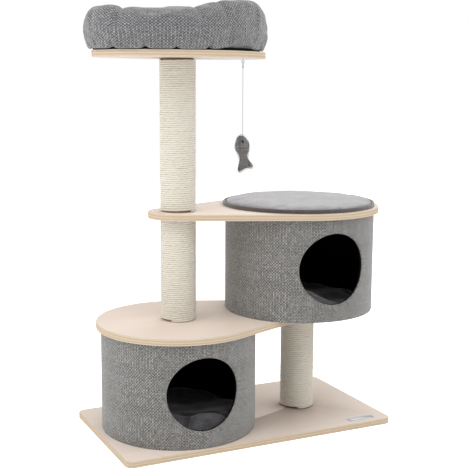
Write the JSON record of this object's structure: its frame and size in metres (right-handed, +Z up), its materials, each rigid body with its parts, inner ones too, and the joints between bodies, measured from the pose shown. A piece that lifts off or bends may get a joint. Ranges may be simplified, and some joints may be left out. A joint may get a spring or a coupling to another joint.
{
  "type": "cat tree",
  "caption": "Free-standing cat tree with a plywood base, stacked round fabric dens, rope-wound posts, teardrop platforms, an oval bed on top and a hanging toy fish.",
  "frame": {"origin": "centre of the base board's underside, on the floor", "axes": "+Z up, +X along the base towards the short post, -Y the side that the den openings face"},
  "size_m": [0.791, 0.4198, 1.0776],
  "materials": {
    "plywood": "pale birch plywood, matt sanded face with a warm layered edge",
    "melange_fabric": "grey melange woven upholstery fabric, matt",
    "bent_ply": "raw bent plywood, matt",
    "lined_board": "board covered in black felt, matt",
    "black_felt": "black felt, matt",
    "den_plush": "grey short plush, soft sheen",
    "light_plush": "light grey short plush, soft sheen",
    "piping": "dark taupe woven edge binding, matt",
    "sisal": "natural sisal rope, matt and fibrous",
    "card": "brown card tube, matt",
    "steel": "zinc-plated steel",
    "plate": "satin metal plate, blank",
    "string": "white twisted cotton string"
  },
  "bodies": {
    "root": {"base_board": "plywood", "lower_platform": "plywood", "upper_platform": "plywood", "top_board": "plywood", "lower_den_cover": "melange_fabric", "lower_den_wall": "bent_ply", "lower_den_lining": "black_felt", "lower_den_floor": "lined_board", "lower_den_roof": "lined_board", "upper_den_cover": "melange_fabric", "upper_den_wall": "bent_ply", "upper_den_lining": "black_felt", "upper_den_floor": "lined_board", "upper_den_roof": "lined_board", "lower_den_floor_screw_1": "steel", "lower_den_floor_screw_2": "steel", "lower_den_floor_screw_3": "steel", "lower_den_roof_screw_1": "steel", "lower_den_roof_screw_2": "steel", "upper_den_floor_screw_1": "steel", "upper_den_floor_screw_2": "steel", "upper_den_roof_screw_1": "steel", "upper_den_roof_screw_2": "steel", "upper_den_roof_screw_3": "steel", "short_post_sisal": "sisal", "short_post_core": "card", "short_post_bottom_plug": "bent_ply", "short_post_top_plug": "bent_ply", "short_post_bottom_insert": "steel", "short_post_top_insert": "steel", "middle_post_sisal": "sisal", "middle_post_core": "card", "middle_post_bottom_plug": "bent_ply", "middle_post_top_plug": "bent_ply", "middle_post_bottom_insert": "steel", "middle_post_top_insert": "steel", "top_post_sisal": "sisal", "top_post_core": "card", "top_post_bottom_plug": "bent_ply", "top_post_top_plug": "bent_ply", "top_post_bottom_insert": "steel", "top_post_top_insert": "steel", "base_bolt": "steel", "den_roof_bolt": "steel", "den_floor_bolt": "steel", "platform_stud": "steel", "top_bolt": "steel", "screw_eye": "steel", "label_plate": "plate"},
    "bed": {"bed_bolster": "melange_fabric", "bed_cushion": "light_plush", "bed_base_panel": "black_felt"},
    "pad": {"pad_cushion": "light_plush", "pad_piping": "piping"},
    "lower_cushion": {"lower_den_cushion": "den_plush"},
    "upper_cushion": {"upper_den_cushion": "den_plush"},
    "toy_hook_knot": {"toy_knot": "string"},
    "toy_line": {"toy_string": "string"},
    "fish": {"toy_fish": "melange_fabric"}
  },
  "joints": [
    {"name": "bed_lift", "type": "slide", "parent": "root", "child": "bed", "axis": [0, 0, 1], "range_m": [0, 0.15]},
    {"name": "pad_lift", "type": "slide", "parent": "root", "child": "pad", "axis": [0, 0, 1], "range_m": [0, 0.05]},
    {"name": "lower_cushion_lift", "type": "slide", "parent": "root", "child": "lower_cushion", "axis": [0, 0, 1], "range_m": [0, 0.1]},
    {"name": "upper_cushion_lift", "type": "slide", "parent": "root", "child": "upper_cushion", "axis": [0, 0, 1], "range_m": [0, 0.1]},
    {"name": "toy_swing_back", "type": "hinge", "parent": "root", "child": "toy_hook_knot", "pos_m": [0.0225, 0, 0.9415], "axis": [1, 0, 0], "range_deg": [-70, 70]},
    {"name": "toy_swing_side", "type": "hinge", "parent": "toy_hook_knot", "child": "toy_line", "pos_m": [0.0225, 0, 0.9415], "axis": [0, -1, 0], "range_deg": [-24, 70]},
    {"name": "fish_spin", "type": "hinge", "parent": "toy_line", "child": "fish", "pos_m": [0.0225, 0, 0.76], "axis": [0, 0, 1], "range_deg": [-180, 180]}
  ]
}
